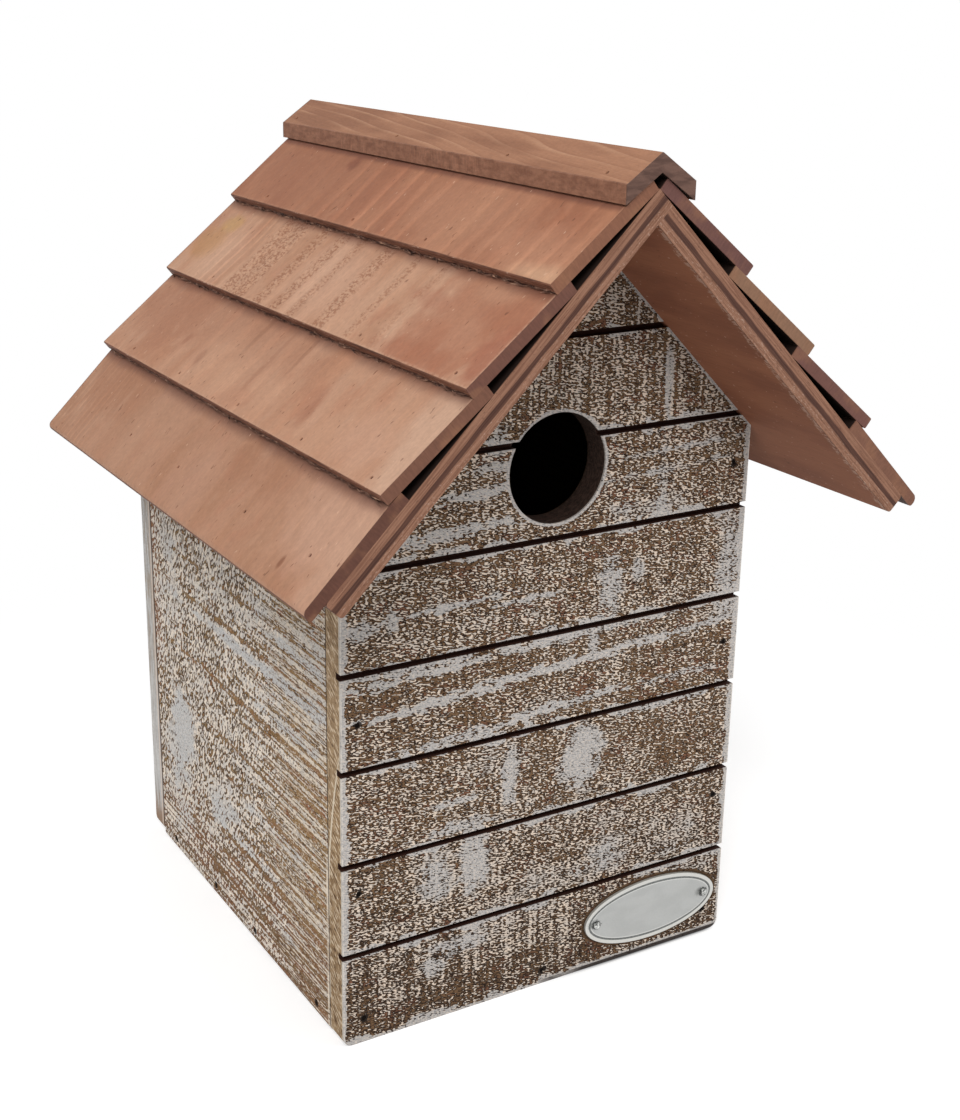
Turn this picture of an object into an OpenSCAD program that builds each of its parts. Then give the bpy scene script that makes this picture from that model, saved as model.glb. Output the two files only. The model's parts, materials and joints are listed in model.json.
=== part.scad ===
// Small wooden nest box: one grooved front board, a gable roof of two plywood
// boards, four courses of wooden shingles on each slope and a ridge cap.
// Millimetres. +Z is up and the entrance looks along -Y. The origin is at the
// middle of the walls' footprint, on the ground.

/* [Body] */
// Width of the box over its side boards
body_w = 136; // [122:0.1:150]
// Depth of the box from the front face to the back face
body_d = 151.2; // [130:0.1:180]
// Height of the side boards at their outer face
eaves_h = 169; // [158:0.1:190]
// Thickness of the front board
front_t = 9; // [8:0.5:12]
// Thickness of the back board
back_t = 9; // [8:0.5:12]
// Thickness of each side board
side_t = 9; // [8:0.5:10]
// Thickness of the floor board
floor_t = 9; // [8:0.5:12]

/* [Front board] */
// Diameter of the entrance hole
hole_d = 32; // [26:1:34]
// Height of the middle of the entrance hole
hole_z = 165; // [155:0.5:172]
// Height of the lowest groove
groove_z = 29.4; // [26:0.5:30]
// Distance from one groove to the next
groove_pitch = 28.8; // [27:0.1:29]
// Number of grooves
groove_count = 7; // [3:1:7]
// Width of a groove
groove_w = 1.8; // [1:0.1:3]
// Depth of a groove
groove_d = 2.5; // [1:0.1:4]
// Radius of the front board's lower corners
front_corner_r = 3; // [1:0.5:5]
// Radius of the back board's lower corners
back_corner_r = 5; // [1:0.5:6]
// Radius along the lower outer edges of the side boards
side_edge_r = 2.5; // [0.5:0.5:3]

/* [Roof] */
// Thickness of the plywood roof boards
ply_t = 6.2; // [5:0.1:8]
// Length of each slope from the ridge down to the plywood's lower edge
slope_len = 129.2; // [116:0.1:148]
// Radius of the two corners along each plywood board's lower edge
ply_corner_r = 1.1; // [0.5:0.1:2]
// Reach of the roof in front of the front board
front_overhang = 39.6; // [30:0.1:50]
// Reach of the roof behind the back board
back_overhang = 4.2; // [2:0.1:10]

/* [Shingles] */
// Thickness of a shingle
shingle_t = 3.3; // [3:0.1:4]
// Length over which each course laps the one below
lap = 4.6; // [4:0.1:7]
// Reach of the lowest course past the plywood's lower edge
eaves_drip = 5.3; // [3:0.1:8]
// Radius of the outer corner along the lowest course's lower edge
drip_outer_r = 1.9; // [0.5:0.1:2]
// Radius of the inner corner along the lowest course's lower edge
drip_inner_r = 0.9; // [0.3:0.1:1]
// Radius of the corners along the other courses' lower edges
shingle_edge_r = 0.4; // [0.2:0.1:0.6]
// Gap between the shingles and the ridge line
ridge_gap = 0.3; // [0.2:0.1:0.5]
// How far the top course stops short of the roof's back edge
top_course_trim = 2; // [0:0.5:4]

/* [Ridge cap] */
// Width of the ridge cap
cap_w = 20.7; // [18:0.1:24]
// Upright thickness of the ridge cap
cap_t = 4.8; // [4:0.1:6]
// Slope of the cap's two sides in degrees
cap_pitch = 35; // [32:0.5:38]
// How far the cap stands out in front of the roof
cap_front = 0.8; // [0:0.1:2]
// How far the cap stops short of the roof's back edge
cap_trim = 0; // [0:0.1:3]

/* [Name plate] */
// Length of the oval plate
plate_l = 50; // [40:0.5:52]
// Height of the oval plate
plate_h = 21; // [14:0.1:21.5]
// Thickness of the oval plate
plate_t = 0.8; // [0.5:0.1:1.5]
// Distance from the front board's right edge to the plate's middle
plate_inset = 27.9; // [27:0.1:40]
// Height of the plate's middle
plate_z = 15.1; // [14:0.1:16]
// Distance from each end of the plate to its nail
plate_nail_inset = 4.2; // [3.5:0.1:6]

/* [Nails] */
// Radius of the head of a nail in the walls
head_r = 0.7; // [0.6:0.05:0.9]
// Radius of the head of a nail in the name plate
plate_head_r = 1.1; // [0.8:0.05:1.3]
// Radius of the head of a roof nail
roof_head_r = 0.5; // [0.4:0.05:0.7]
// Thickness of a nail's head
head_h = 0.5; // [0.4:0.1:0.8]
// Radius of the shank of a nail in the walls or the name plate
shank_r = 0.45; // [0.35:0.05:0.5]
// Radius of the shank of a roof nail
roof_shank_r = 0.3; // [0.25:0.05:0.35]
// How deep the heads are set below the wood
sink = 0.3; // [0.1:0.1:0.5]
// Radial clearance round a nail in its hole
nail_clearance = 0.05; // [0.02:0.01:0.1]
// Length of the nails through the wall boards
wall_nail_len = 20; // [16:1:25]
// Length of the nails through the shingles and the cap
roof_nail_len = 9; // [8:0.1:9.2]
// Length of the name plate's nails
plate_nail_len = 8; // [6:0.5:10]
// Distance from the lowest shingle's lower edge to its nails
eaves_nail_inset = 12.8; // [8:0.5:16]
// Distance from the other shingles' lower edges to their nails
course_nail_inset = 3.2; // [2.8:0.1:3.4]
// Distance from the cap's edge to its nails
cap_nail_inset = 2.9; // [2:0.1:3]

/* [Hidden] */
$fn = 64;
// The two roof boards meet square at the ridge.
pitch = 45;
// Cuts run this far past a face.
over = 1;
left = -1;
right = 1;
courses = 4;
// The courses share the slope and its drip evenly.
course = (slope_len + eaves_drip - ridge_gap - lap) / courses;
shingle_len = course + lap;
front_y = -body_d / 2;
back_y = body_d / 2;
wall_x = body_w / 2;
inner_d = body_d - front_t - back_t;
gable_h = eaves_h + wall_x * tan(pitch);
ridge_z = gable_h + ply_t / cos(pitch);
plate_x = wall_x - plate_inset;
roof_front_y = front_y - front_overhang;
roof_len = front_overhang + body_d + back_overhang;
// Nail places are shares of the roof's length from its front edge, course 1 at the eaves.
shingle_nail_places = [
    [0.072, 0.272, 0.513, 0.713],
    [0.046, 0.246, 0.456, 0.682, 0.882],
    [0.046, 0.303, 0.564, 0.821],
    [0.333, 0.554, 0.862],
];
cap_nail_places = [0.056, 0.292, 0.61, 0.97];
// Nail places up each edge of the front and back boards: share of the side board's
// thickness from the outer face, share of the eaves height.
gable_nail_places = [[0.73, 0.047], [0.56, 0.29], [0.56, 0.598], [0.61, 0.937]];
// Nail places along the lower edge of each side board, as shares of its length.
side_nail_places = [0.068, 0.405, 0.646, 0.916];
plate_side_count = 96;

// Course 1 lies flat. Each later shingle leans on the upper end of the one below.
function tilt(k) = k == 1 ? 0 :
    atan2(shingle_t * cos(tilt(k - 1)), course - shingle_t * sin(tilt(k - 1)));
function upper_s(k) = ridge_gap + (courses - k) * course;
function back_trim(k) = k == courses ? top_course_trim : 0;

// The upper corner of the top course carries the cap.
rest_s = upper_s(courses) - shingle_t * sin(tilt(courses));
rest_n = shingle_t * cos(tilt(courses));
rest_x = rest_s * cos(pitch) + rest_n * sin(pitch);
rest_z = ridge_z - rest_s * sin(pitch) + rest_n * cos(pitch);
cap_z = rest_z + rest_x * tan(cap_pitch);
cap_drop = cap_w / 2 * tan(cap_pitch);

// Children use X down the slope from the ridge, Y back and Z out of the plywood.
module on_slope(side) {
    translate([0, 0, ridge_z])
        mirror([side == left ? 1 : 0, 0, 0])
            rotate([0, pitch, 0])
                children();
}

// Children use X down shingle k from its upper end and Z out of its underside.
module on_shingle(side, k) {
    on_slope(side)
        translate([upper_s(k), roof_front_y, 0])
            rotate([0, -tilt(k), 0])
                children();
}

// One nail driven along -Z from Z = 0. A hole is the nail grown by the clearance.
module nail(length, head, shank, hole) {
    grow = hole ? nail_clearance : 0;
    translate([0, 0, -length])
        cylinder(r = shank + grow, h = length - sink);
    translate([0, 0, -sink - head_h])
        cylinder(r = head + grow, h = head_h + (hole ? sink + over : 0));
}

module wall_nail(hole) {
    nail(wall_nail_len, head_r, shank_r, hole);
}

module roof_nail(hole) {
    nail(roof_nail_len, roof_head_r, roof_shank_r, hole);
}

module shingle_nails(side, k, hole = false) {
    inset = k == 1 ? eaves_nail_inset : course_nail_inset;
    on_shingle(side, k)
        for (place = shingle_nail_places[k - 1])
            translate([shingle_len - inset, place * roof_len, shingle_t])
                roof_nail(hole);
}

module cap_nails(side, hole = false) {
    translate([0, roof_front_y, cap_z + cap_t])
        mirror([side == left ? 1 : 0, 0, 0])
            rotate([0, cap_pitch, 0])
                for (place = cap_nail_places)
                    translate([cap_w / 2 / cos(cap_pitch) - cap_nail_inset, place * roof_len, 0])
                        roof_nail(hole);
}

// Nails through the front board, or mirrored through the back board.
module gable_board_nails(hole = false) {
    for (side = [left, right])
        for (place = gable_nail_places)
            translate([side * (wall_x - place[0] * side_t), front_y, place[1] * eaves_h])
                rotate([90, 0, 0])
                    wall_nail(hole);
    translate([0, front_y, floor_t / 2])
        rotate([90, 0, 0])
            wall_nail(hole);
}

module back_board_nails(hole = false) {
    mirror([0, 1, 0])
        gable_board_nails(hole);
}

module side_board_nails(side, hole = false) {
    mirror([side == left ? 1 : 0, 0, 0])
        for (place = side_nail_places)
            translate([wall_x, front_y + front_t + place * inner_d, floor_t / 2])
                rotate([0, 90, 0])
                    wall_nail(hole);
}

module plate_nail(side, hole = false) {
    translate([plate_x + side * (plate_l / 2 - plate_nail_inset), front_y - plate_t, plate_z])
        rotate([90, 0, 0])
            translate([0, 0, sink + head_h])
                nail(plate_nail_len, plate_head_r, shank_r, hole);
}

// What a corner at the origin loses to a radius. Its board lies towards -X and -Y.
module corner_waste(r) {
    translate([-r, -r])
        difference() {
            square(2 * r);
            circle(r = r);
        }
}

// Outline of the front and back boards with rounded lower corners.
module gable_outline(corner_r) {
    difference() {
        polygon([
            [-wall_x, 0], [wall_x, 0], [wall_x, eaves_h], [0, gable_h], [-wall_x, eaves_h]
        ]);
        for (side = [left, right])
            mirror([side == left ? 1 : 0, 0])
                translate([wall_x, 0])
                    mirror([0, 1])
                        corner_waste(corner_r);
    }
}

// A board from X = start to X = end, Y = 0 to Y = width and Z = 0 to Z = thick, with the
// corners along its lower edge, at X = end, rounded.
module roof_board(start, end, width, thick, outer_r, inner_r) {
    translate([0, width, 0])
        rotate([90, 0, 0])
            linear_extrude(width)
                difference() {
                    translate([start, 0])
                        square([end - start, thick]);
                    translate([end, thick])
                        corner_waste(outer_r);
                    translate([end, 0])
                        mirror([0, 1])
                            corner_waste(inner_r);
                }
}

module front_panel() {
    color("tan")
        difference() {
            translate([0, front_y + front_t, 0])
                rotate([90, 0, 0])
                    linear_extrude(front_t)
                        gable_outline(front_corner_r);
            for (i = [0 : groove_count - 1])
                translate([-wall_x - over, front_y - over, groove_z + i * groove_pitch - groove_w / 2])
                    cube([body_w + 2 * over, groove_d + over, groove_w]);
            translate([0, front_y - over, hole_z])
                rotate([-90, 0, 0])
                    cylinder(d = hole_d, h = front_t + 2 * over);
            gable_board_nails(hole = true);
            for (side = [left, right])
                plate_nail(side, hole = true);
        }
}

module back_panel() {
    color("tan")
        difference() {
            translate([0, back_y, 0])
                rotate([90, 0, 0])
                    linear_extrude(back_t)
                        gable_outline(back_corner_r);
            back_board_nails(hole = true);
        }
}

// A side board between the front and back boards, its top cut to the slope.
module side_panel(side) {
    color("burlywood")
        difference() {
            translate([0, back_y - back_t, 0])
                rotate([90, 0, 0])
                    linear_extrude(inner_d)
                        mirror([side == left ? 1 : 0, 0])
                            difference() {
                                polygon([
                                    [wall_x, 0],
                                    [wall_x, eaves_h],
                                    [wall_x - side_t, eaves_h + side_t * tan(pitch)],
                                    [wall_x - side_t, 0]
                                ]);
                                translate([wall_x, 0])
                                    mirror([0, 1])
                                        corner_waste(side_edge_r);
                            }
            side_board_nails(side, hole = true);
            gable_board_nails(hole = true);
            back_board_nails(hole = true);
        }
}

module floor_panel() {
    color("burlywood")
        difference() {
            translate([-wall_x + side_t, front_y + front_t, 0])
                cube([body_w - 2 * side_t, inner_d, floor_t]);
            for (side = [left, right])
                side_board_nails(side, hole = true);
            gable_board_nails(hole = true);
            back_board_nails(hole = true);
        }
}

// The left roof board laps over the upper end of the right one.
module roof_panel(side) {
    start = side == left ? 0 : ply_t;
    color("sienna")
        difference() {
            on_slope(side)
                translate([0, roof_front_y, -ply_t])
                    roof_board(start, slope_len, roof_len, ply_t, ply_corner_r, ply_corner_r);
            for (k = [1 : courses])
                shingle_nails(side, k, hole = true);
            cap_nails(side, hole = true);
        }
}

module shingle(side, k) {
    outer_r = k == 1 ? drip_outer_r : shingle_edge_r;
    inner_r = k == 1 ? drip_inner_r : shingle_edge_r;
    color("rosybrown")
        difference() {
            on_shingle(side, k)
                roof_board(0, shingle_len, roof_len - back_trim(k), shingle_t, outer_r, inner_r);
            shingle_nails(side, k, hole = true);
            if (k < courses)
                shingle_nails(side, k + 1, hole = true);
            else
                cap_nails(side, hole = true);
        }
}

module ridge_cap() {
    cap_len = roof_len + cap_front - cap_trim;
    color("rosybrown")
        difference() {
            translate([0, roof_front_y - cap_front + cap_len, cap_z])
                rotate([90, 0, 0])
                    linear_extrude(cap_len)
                        polygon([
                            [0, cap_t], [cap_w / 2, cap_t - cap_drop], [cap_w / 2, -cap_drop],
                            [0, 0], [-cap_w / 2, -cap_drop], [-cap_w / 2, cap_t - cap_drop]
                        ]);
            for (side = [left, right])
                cap_nails(side, hole = true);
        }
}

module name_plate() {
    color("gainsboro")
        difference() {
            translate([plate_x, front_y, plate_z])
                rotate([90, 0, 0])
                    linear_extrude(plate_t)
                        polygon([
                            for (i = [0 : plate_side_count - 1])
                                let (a = 360 * i / plate_side_count)
                                    [plate_l / 2 * cos(a), plate_h / 2 * sin(a)]
                        ]);
            for (side = [left, right])
                plate_nail(side, hole = true);
        }
}

module steel_nails() {
    color("dimgray")
        children();
}

front_panel();
back_panel();
side_panel(left);  // left_side_panel
side_panel(right);  // right_side_panel
floor_panel();
roof_panel(left);  // left_roof_panel
roof_panel(right);  // right_roof_panel
shingle(left, 1);  // left_shingle_1
shingle(left, 2);  // left_shingle_2
shingle(left, 3);  // left_shingle_3
shingle(left, 4);  // left_shingle_4
shingle(right, 1);  // right_shingle_1
shingle(right, 2);  // right_shingle_2
shingle(right, 3);  // right_shingle_3
shingle(right, 4);  // right_shingle_4
ridge_cap();
name_plate();
steel_nails() gable_board_nails();  // front_panel_nails
steel_nails() back_board_nails();  // back_panel_nails
steel_nails() side_board_nails(left);  // left_side_nails
steel_nails() side_board_nails(right);  // right_side_nails
steel_nails() shingle_nails(left, 1);  // left_shingle_1_nails
steel_nails() shingle_nails(left, 2);  // left_shingle_2_nails
steel_nails() shingle_nails(left, 3);  // left_shingle_3_nails
steel_nails() shingle_nails(left, 4);  // left_shingle_4_nails
steel_nails() shingle_nails(right, 1);  // right_shingle_1_nails
steel_nails() shingle_nails(right, 2);  // right_shingle_2_nails
steel_nails() shingle_nails(right, 3);  // right_shingle_3_nails
steel_nails() shingle_nails(right, 4);  // right_shingle_4_nails
steel_nails() {  // ridge_cap_nails
    cap_nails(left);
    cap_nails(right);
}
steel_nails() plate_nail(left);  // plate_nail_left
steel_nails() plate_nail(right);  // plate_nail_right
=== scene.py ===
import json
import math
import random

import bpy
from mathutils import Matrix, Vector


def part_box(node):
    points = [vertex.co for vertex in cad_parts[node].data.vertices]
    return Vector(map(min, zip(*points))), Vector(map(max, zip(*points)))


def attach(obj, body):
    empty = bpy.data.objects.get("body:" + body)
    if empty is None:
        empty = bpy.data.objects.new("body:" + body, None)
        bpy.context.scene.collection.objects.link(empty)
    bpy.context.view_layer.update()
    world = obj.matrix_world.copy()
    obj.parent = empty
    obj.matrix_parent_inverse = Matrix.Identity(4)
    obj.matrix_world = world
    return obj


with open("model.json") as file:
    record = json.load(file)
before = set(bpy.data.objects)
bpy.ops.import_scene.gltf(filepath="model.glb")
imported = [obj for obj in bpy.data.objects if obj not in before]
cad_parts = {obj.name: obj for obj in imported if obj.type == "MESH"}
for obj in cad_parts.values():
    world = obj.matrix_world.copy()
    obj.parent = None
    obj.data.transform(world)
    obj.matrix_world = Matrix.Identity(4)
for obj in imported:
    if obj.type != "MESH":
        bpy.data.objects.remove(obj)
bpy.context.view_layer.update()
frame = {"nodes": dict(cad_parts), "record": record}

NODES = frame["nodes"]
MM = 1000
WHITE = (1, 1, 1, 1)


# ---- node helpers

def linear(colour):
    """A tone given as 0 to 255 screen values, in linear light. A socket stays as it is."""
    if isinstance(colour, bpy.types.NodeSocket):
        return colour
    shares = [v / 255 for v in colour]
    return [v / 12.92 if v <= 0.04045 else ((v + 0.055) / 1.055) ** 2.4 for v in shares] + [1]


class Graph:
    """Builds the nodes of a material or a world. A value is a socket, a number or a tuple."""

    def __init__(self, owner):
        owner.use_nodes = True
        self.owner = owner
        self.tree = owner.node_tree
        self.tree.nodes.clear()

    def new(self, kind, *values, **named):
        """A node with its inputs set in order or by name."""
        node = self.tree.nodes.new(kind)
        for i, value in enumerate(values):
            self.put(node.inputs[i], value)
        for name, value in named.items():
            self.put(node.inputs[name.replace("_", " ")], value)
        return node

    def put(self, socket, value):
        if isinstance(value, bpy.types.NodeSocket):
            self.tree.links.new(value, socket)
        else:
            socket.default_value = value

    def math(self, op, *values):
        n = self.new("ShaderNodeMath")
        n.operation = op
        for i, v in enumerate(values):
            self.put(n.inputs[i], v)
        return n.outputs[0]

    def chain(self, op, values):
        total = values[0]
        for v in values[1:]:
            total = self.math(op, total, v)
        return total

    def add(self, *values):
        return self.chain("ADD", values)

    def mul(self, *values):
        return self.chain("MULTIPLY", values)

    def top(self, *values):
        return self.chain("MAXIMUM", values)

    def low(self, *values):
        return self.chain("MINIMUM", values)

    def sub(self, a, b):
        return self.math("SUBTRACT", a, b)

    def inv(self, a):
        return self.math("SUBTRACT", 1, a)

    def absolute(self, a):
        return self.math("ABSOLUTE", a)

    def vmath(self, op, *vectors, scale=None):
        n = self.new("ShaderNodeVectorMath")
        n.operation = op
        for i, v in enumerate(vectors):
            self.put(n.inputs[i], v)
        if scale is not None:
            self.put(n.inputs["Scale"], scale)
        return n.outputs["Value"] if op in ("DOT_PRODUCT", "LENGTH") else n.outputs[0]

    def div(self, a, b):
        return self.math("DIVIDE", a, b)

    def scaled(self, a, factor, more):
        """a times factor, plus more."""
        return self.math("MULTIPLY_ADD", a, factor, more)

    def hypot(self, a, b):
        return self.math("SQRT", self.add(self.mul(a, a), self.mul(b, b)))

    def join(self, x, y, z):
        return self.new("ShaderNodeCombineXYZ", x, y, z).outputs[0]

    def noise(self, place, sizes, seed, detail=2, rough=0.5, warp=0):
        """Noise whose features are `sizes` millimetres long on the three axes of place."""
        shifted = [self.scaled(axis, 1 / size, seed * (i + 1.37))
                   for i, (axis, size) in enumerate(zip(place, sizes))]
        n = self.new("ShaderNodeTexNoise", Vector=self.join(*shifted), Scale=1, Detail=detail,
                     Roughness=rough, Distortion=warp)
        return n.outputs[0]

    def span(self, value, lo, hi, out_lo=0, out_hi=1):
        """Straight, clamped map of value from lo..hi."""
        return self.ranged("LINEAR", value, lo, hi, out_lo, out_hi)

    def smooth(self, value, lo, hi, out_lo=0, out_hi=1):
        """Smooth step of value from lo to hi."""
        return self.ranged("SMOOTHSTEP", value, lo, hi, out_lo, out_hi)

    def ranged(self, kind, *values):
        n = self.new("ShaderNodeMapRange")
        n.interpolation_type = kind
        for name, value in zip(("Value", "From Min", "From Max", "To Min", "To Max"), values):
            self.put(n.inputs[name], value)
        return n.outputs[0]

    def swing(self, noise, *reach):
        """Noise about nought, times reach."""
        return self.mul(self.sub(noise, 0.5), *reach)

    def band(self, value, centre, half, soft):
        """One inside centre +- half, fading to none over soft."""
        away = self.absolute(self.sub(value, centre))
        return self.smooth(away, half + soft, half)

    def spot(self, place, centre, radii, ragged, soft):
        """One in the middle of an ellipse on the first two axes, fading at its ragged edge."""
        n = self.new("ShaderNodeVectorMath")
        n.operation = "MULTIPLY_ADD"
        self.put(n.inputs[0], place)
        self.put(n.inputs[1], (1 / radii[0], 1 / radii[1], 0))
        self.put(n.inputs[2], (-centre[0] / radii[0], -centre[1] / radii[1], 0))
        far = self.add(self.vmath("LENGTH", n.outputs[0]), ragged)
        return self.smooth(far, 1 + soft, 1 - soft)

    def spots(self, total, u, v, rows, ragged, soft=0.6):
        """Adds to total the weight of each row (middle, half sizes, weight) inside its ellipse."""
        place = self.join(u, v, 0)
        for u_mid, v_mid, u_half, v_half, weight in rows:
            one = self.spot(place, (u_mid, v_mid), (u_half, v_half), ragged, soft)
            total = self.scaled(one, weight, total)
        return total

    def mix(self, fac, a, b):
        n = self.new("ShaderNodeMix")
        n.data_type = "RGBA"
        n.clamp_factor = True
        self.put(n.inputs[0], fac)
        self.put(n.inputs[6], linear(a))
        self.put(n.inputs[7], linear(b))
        return n.outputs[2]

    def background_rays(self):
        """One for the rays that see the plain background, nought for those that see the light."""
        path = self.new("ShaderNodeLightPath")
        return self.top(*[path.outputs["Is %s Ray" % kind]
                          for kind in ("Camera", "Glossy", "Transmission")])

    def dim(self, colour, amount):
        """Multiplies a colour by a grey amount."""
        return self.vmath("SCALE", colour, scale=amount)

    def vary(self, colour, noise, darkest, brightest):
        return self.dim(colour, self.span(noise, 0.3, 0.7, darkest, brightest))


class Paint(Graph):
    """A material's nodes, with the place in the part's frame in millimetres."""

    def __init__(self, name):
        super().__init__(bpy.data.materials.new(name))
        coords = self.new("ShaderNodeTexCoord")
        self.pos = self.vmath("SCALE", coords.outputs["Object"], scale=MM)
        self.x, self.y, self.z = self.new("ShaderNodeSeparateXYZ", self.pos).outputs

    def finish(self, colour, rough, height, depth_mm, strength, metallic=0, specular=0.5):
        bsdf = self.new("ShaderNodeBsdfPrincipled", Base_Color=colour, Roughness=rough,
                        Metallic=metallic, Specular_IOR_Level=specular)
        bump = self.new("ShaderNodeBump", Strength=strength, Distance=depth_mm / MM, Height=height)
        self.put(bsdf.inputs["Normal"], bump.outputs[0])
        self.new("ShaderNodeOutputMaterial", Surface=bsdf.outputs[0])
        return self.owner


def box_mm(node):
    lo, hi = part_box(node)
    return [v * MM for v in lo], [v * MM for v in hi]


def nail_middles(node):
    """The middle of each nail of a node, in millimetres."""
    mesh = NODES[node].data
    owner = list(range(len(mesh.vertices)))

    def root(i):
        while owner[i] != i:
            owner[i] = owner[owner[i]]
            i = owner[i]
        return i

    for edge in mesh.edges:
        owner[root(edge.vertices[0])] = root(edge.vertices[1])
    nails = {}
    for v in mesh.vertices:
        nails.setdefault(root(v.index), []).append(v.co * MM)
    return [sum(points, Vector()) / len(points) for points in nails.values()]


# ---- whitewashed boards

FRONT_LO, FRONT_HI = box_mm("front_panel")
BACK_LO, BACK_HI = box_mm("back_panel")
PLATE_LO, PLATE_HI = box_mm("name_plate")
FRONT_Y = FRONT_LO[1]
BACK_Y = BACK_HI[1]
BOARD_T = FRONT_HI[1] - FRONT_LO[1]
WALL_X = FRONT_HI[0]
GABLE_Z = FRONT_HI[2]
ROOF_PITCH = 45
GROOVE_Z = 29.4
GROOVE_PITCH = 28.8
GROOVE_HALF = 0.9
GROOVE_DEPTH = 2.5
ENTRANCE = next(m for m in frame["record"]["mounts"] if m["name"] == "entrance")
HOLE_Z = ENTRANCE["pos_m"][2] * MM
HOLE_R = ENTRANCE["dims"]["r_mm"]

# dark is the painted shade beside the strokes, and the specks in the grey paint
FRONT_TONES = dict(brown=(108, 83, 60), red=(112, 77, 59), dark=(38, 26, 19),
                   cream=(214, 196, 178), white=(200, 187, 174), grey=(178, 174, 171))
SIDE_TONES = dict(brown=(144, 114, 76), red=(142, 98, 64), dark=(74, 56, 41),
                  cream=(236, 222, 206), white=(214, 205, 196), grey=(200, 199, 198))
GRAIN_TONES = dict(brown=(150, 120, 82), red=(144, 98, 70), dark=(82, 61, 45),
                   cream=(224, 209, 190), white=(208, 198, 186), grey=(200, 198, 196))
# bare wood of the inner faces, darkened as painted shade
SHADED_INNER_WOOD = ((46, 35, 28), (66, 51, 41))
NAIL_DARK = (24, 18, 15)
NAIL_HOLE_R = 0.95


def wash(g, place, cover, thick, cell, seed, tones, shade_from_level=-1.8):
    """Rough, dark wood under a thin coat of paint that stays on short strokes.

    The first axis of place runs along the strokes and the second across them; cell is half
    a stroke's length and height.
    cover shifts the coat: 2 hides nearly all the wood, -2 bares nearly all of it. The
    paint turns from cream to grey where it is thick. The bare wood darkens towards the
    strokes from the level that the last argument gives, as painted shade beside the raised paint."""
    fine = g.noise(place, (cell[0], cell[1], 3), seed, 1, 0.4, 0.3)
    level = g.scaled(g.sub(fine, 0.5), 9, cover)
    tint = g.noise(place, (7, 3.2, 3), seed + 17, 2, 0.6)
    pores = g.noise(place, (2.4, 0.4, 0.6), seed + 23, 1, 0.5)
    bare = g.mix(g.smooth(tint, 0.52, 0.68), tones["brown"], tones["red"])
    bare = g.vary(bare, pores, 0.80, 1.2)
    # painted shade: the bare wood darkens next to the raised paint strokes
    wood = g.mix(g.smooth(level, shade_from_level, -0.6), bare, tones["dark"])
    warm = g.noise(place, (3, 1.6, 2), seed + 31, 1, 0.5)
    stroke = g.mix(g.smooth(warm, 0.42, 0.60), tones["cream"], tones["white"])
    grit = g.noise(place, (0.8, 0.5, 0.6), seed + 37, 1, 0.5)
    layer = g.mix(g.mul(g.smooth(grit, 0.52, 0.60), 0.6), tones["grey"], tones["white"])
    layer = g.mix(g.mul(g.smooth(grit, 0.42, 0.34), 0.35), layer, tones["dark"])
    coat = g.mix(g.smooth(thick, 0.1, 1.2), stroke, layer)
    coat = g.vary(coat, grit, 0.92, 1.06)
    left = g.smooth(level, -0.25, 0.25)
    colour = g.mix(left, wood, coat)
    raised = g.smooth(fine, 0.50, 0.57)
    height = g.add(g.mul(raised, 0.7), g.mul(pores, 0.3), g.mul(grit, 0.15))
    return colour, height, left


def strips(g, place, sizes, seed, lo, hi):
    """Sparse long patches, one inside and none outside."""
    return g.smooth(g.noise(place, sizes, seed, 2, 0.5, 0.2), lo, hi)


# Thick paint, or thin where the weight is negative: middle, half sizes in mm, weight. Places
# are (x, z) on the front and (from the front, z) on the sides.
FRONT_PATCHES = (
    (12.5, 75.5, 5.8, 9.5, 2.3), (7, 70.5, 4, 5.5, 1.3), (-13.5, 73, 2.8, 7.5, 2),
    (-25, 50, 4.2, 9.5, 2.1), (-37, 46.5, 5.5, 7, 1), (-30, 23.5, 9, 3.5, 1.3),
    (-38.5, 18, 4, 3.5, 1.6), (-12, 24, 14, 3.5, 0.6), (0, 4, 90, 8, -0.55), (20, 127.5, 4, 9.5, 1.3),
    (29, 130, 3, 4, 1.1), (-62, 128, 4.5, 3, 1.6), (-52, 129, 2, 3.5, 1.3), (63, 130, 5, 13, 1.1),
    (14.5, 110.5, 2, 4, 1.6), (62, 112, 9, 4, 1), (47, 81, 6, 2.5, 0.8), (48, 77, 18, 14, -0.4),
    (36, 38, 26, 8, 0.45), (36.8, 187, 1.6, 11, 1.4), (-19, 177, 3, 3, 1.2), (25, 209, 2, 8, 0.8),
    (36, 158, 2, 10, 0.8), (30, 149, 14, 3, 0.8), (-58, 109, 18, 7, -0.4), (24, 46, 9, 10, 0.5),
    (-24, 80, 30, 6, 0.35), (55, 25.5, 12, 3, 0.8), (-10, 37, 36, 6, 0.3), (-60, 13, 7, 8, -0.4),
)
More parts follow.
